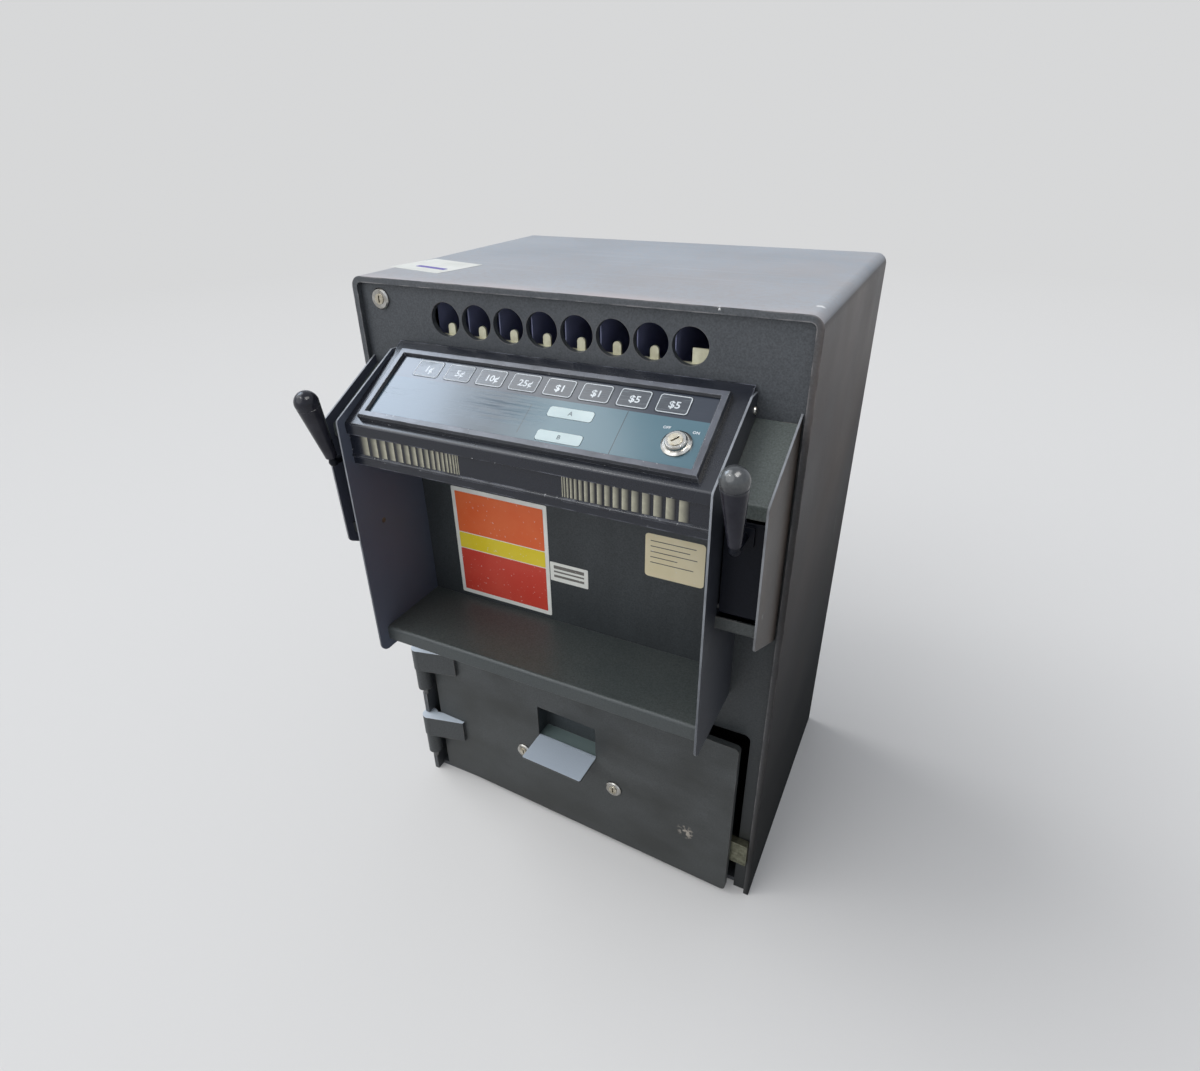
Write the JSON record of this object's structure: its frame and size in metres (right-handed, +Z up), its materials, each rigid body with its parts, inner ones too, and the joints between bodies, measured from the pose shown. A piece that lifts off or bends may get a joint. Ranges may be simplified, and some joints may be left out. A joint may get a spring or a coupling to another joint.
{
  "type": "cash dispensing safe",
  "caption": "Steel floor safe that vends cash tubes: tube holes over a sloped keypad console and pick-up tray, tipping drop hoppers at the sides, hinged vault door below.",
  "frame": {"origin": "on the floor under the middle of the cabinet, at the centre of the four anchor holes", "axes": "+X to the right as seen by the user, +Y to the back of the cabinet, +Z up"},
  "size_m": [0.4985, 0.4891, 0.726],
  "materials": {
    "cabinet_paint": "textured",
    "cover_paint": "satin",
    "black_paint": "satin",
    "bare_sheet": "satin",
    "cream_plastic": "matte",
    "black_plastic": "satin",
    "overlay_film": "gloss",
    "key_film": "gloss",
    "pale_key_film": "gloss",
    "nickel": "polished",
    "pin_steel": "satin",
    "bolt_zinc": "satin"
  },
  "bodies": {
    "cabinet": {"cabinet_wrap": "cabinet_paint", "back_plate": "cabinet_paint", "bottom_plate": "cabinet_paint", "tube_panel": "cabinet_paint", "front_panel": "cabinet_paint", "jamb_strip": "cabinet_paint", "vault_ceiling": "bare_sheet", "cord_bushing": "black_plastic", "tube_magazine": "bare_sheet", "tube_dividers": "bare_sheet", "tube_comb": "cream_plastic", "drop_ducts": "bare_sheet", "inner_cheek_left": "black_paint", "inner_cheek_right": "black_paint", "tray_shelf": "cabinet_paint", "console_lid": "black_paint", "fascia": "black_paint", "keypad_frame": "black_paint", "keypad_base": "bare_sheet", "keypad_overlay": "overlay_film", "controller_box": "bare_sheet", "switch_body": "nickel", "outer_cheek_left": "cabinet_paint", "outer_cheek_right": "cabinet_paint", "drop_cover_left": "cover_paint", "drop_cover_right": "cover_paint", "drop_floor_left": "cabinet_paint", "drop_floor_right": "cabinet_paint", "hopper_pivots": "pin_steel", "cheek_screws": "nickel", "hinge_knuckles": "cabinet_paint", "hinge_pins": "pin_steel", "top_lock": "nickel"},
    "hopper_l": {"hopper_left": "black_paint", "grip_left": "black_plastic"},
    "hopper_r": {"hopper_right": "black_paint", "grip_right": "black_plastic"},
    "door": {"hinge_straps": "cabinet_paint", "door_skin": "cabinet_paint", "door_backer": "bare_sheet", "pull_pan": "black_paint", "bolt_guides": "bare_sheet", "door_locks": "nickel"},
    "bolt": {"door_bolt": "bolt_zinc"},
    "left_plug": {"left_lock_plug": "nickel"},
    "right_plug": {"right_lock_plug": "nickel"},
    "top_plug": {"top_lock_plug": "nickel"},
    "switch": {"switch_plug": "nickel"},
    "b_key_1": {"key_1": "key_film"},
    "b_key_2": {"key_2": "key_film"},
    "b_key_3": {"key_3": "key_film"},
    "b_key_4": {"key_4": "key_film"},
    "b_key_5": {"key_5": "key_film"},
    "b_key_6": {"key_6": "key_film"},
    "b_key_7": {"key_7": "key_film"},
    "b_key_8": {"key_8": "key_film"},
    "b_key_wide_1": {"key_wide_1": "pale_key_film"},
    "b_key_wide_2": {"key_wide_2": "pale_key_film"}
  },
  "joints": [
    {"name": "door_swing", "type": "hinge", "parent": "cabinet", "child": "door", "pos_m": [-0.24, -0.178, 0.12], "axis": [0, 0, -1], "range_deg": [0, 105]},
    {"name": "bolt_slide", "type": "slide", "parent": "door", "child": "bolt", "axis": [0.9988, -0.0479, 0], "range_m": [-0.022, 0]},
    {"name": "right_lock_turn", "type": "hinge", "parent": "door", "child": "right_plug", "pos_m": [0.06103, -0.18344, 0.109], "axis": [0.0479, 0.9988, 0], "range_deg": [0, 90.5]},
    {"name": "left_lock_turn", "type": "hinge", "parent": "door", "child": "left_plug", "pos_m": [-0.0788, -0.17673, 0.109], "axis": [0.0479, 0.9988, 0], "range_deg": [0, 90]},
    {"name": "top_lock_turn", "type": "hinge", "parent": "cabinet", "child": "top_plug", "pos_m": [-0.2153, -0.172, 0.7034], "axis": [0, 1, 0], "range_deg": [0, 90]},
    {"name": "key_switch_turn", "type": "hinge", "parent": "cabinet", "child": "switch", "pos_m": [0.1502, -0.24274, 0.62512], "axis": [0, 0.515, -0.8572], "range_deg": [0, 90]},
    {"name": "hopper_l_tip", "type": "hinge", "parent": "cabinet", "child": "hopper_l", "pos_m": [-0.21707, -0.244, 0.476], "axis": [1, 0, 0], "range_deg": [0, 45], "stiffness_Nm_per_rad": 0.35, "springref_deg": -57.3},
    {"name": "hopper_r_tip", "type": "hinge", "parent": "cabinet", "child": "hopper_r", "pos_m": [0.21707, -0.244, 0.476], "axis": [1, 0, 0], "range_deg": [0, 45], "stiffness_Nm_per_rad": 0.35, "springref_deg": -57.3},
    {"name": "key_1_press", "type": "slide", "parent": "cabinet", "child": "b_key_1", "axis": [0, 0.515, -0.8572], "range_m": [0, 0.0006], "stiffness_N_per_m": 800, "springref_m": -0.0004},
    {"name": "key_2_press", "type": "slide", "parent": "cabinet", "child": "b_key_2", "axis": [0, 0.515, -0.8572], "range_m": [0, 0.0006], "stiffness_N_per_m": 800, "springref_m": -0.0004},
    {"name": "key_3_press", "type": "slide", "parent": "cabinet", "child": "b_key_3", "axis": [0, 0.515, -0.8572], "range_m": [0, 0.0006], "stiffness_N_per_m": 800, "springref_m": -0.0004},
    {"name": "key_4_press", "type": "slide", "parent": "cabinet", "child": "b_key_4", "axis": [0, 0.515, -0.8572], "range_m": [0, 0.0006], "stiffness_N_per_m": 800, "springref_m": -0.0004},
    {"name": "key_5_press", "type": "slide", "parent": "cabinet", "child": "b_key_5", "axis": [0, 0.515, -0.8572], "range_m": [0, 0.0006], "stiffness_N_per_m": 800, "springref_m": -0.0004},
    {"name": "key_6_press", "type": "slide", "parent": "cabinet", "child": "b_key_6", "axis": [0, 0.515, -0.8572], "range_m": [0, 0.0006], "stiffness_N_per_m": 800, "springref_m": -0.0004},
    {"name": "key_7_press", "type": "slide", "parent": "cabinet", "child": "b_key_7", "axis": [0, 0.515, -0.8572], "range_m": [0, 0.0006], "stiffness_N_per_m": 800, "springref_m": -0.0004},
    {"name": "key_8_press", "type": "slide", "parent": "cabinet", "child": "b_key_8", "axis": [0, 0.515, -0.8572], "range_m": [0, 0.0006], "stiffness_N_per_m": 800, "springref_m": -0.0004},
    {"name": "key_wide_1_press", "type": "slide", "parent": "cabinet", "child": "b_key_wide_1", "axis": [0, 0.515, -0.8572], "range_m": [0, 0.0006], "stiffness_N_per_m": 800, "springref_m": -0.0004},
    {"name": "key_wide_2_press", "type": "slide", "parent": "cabinet", "child": "b_key_wide_2", "axis": [0, 0.515, -0.8572], "range_m": [0, 0.0006], "stiffness_N_per_m": 800, "springref_m": -0.0004}
  ],
  "couplings": [
    {"joint": "right_lock_turn", "follows": "bolt_slide", "rad_per_m": -71.4}
  ]
}
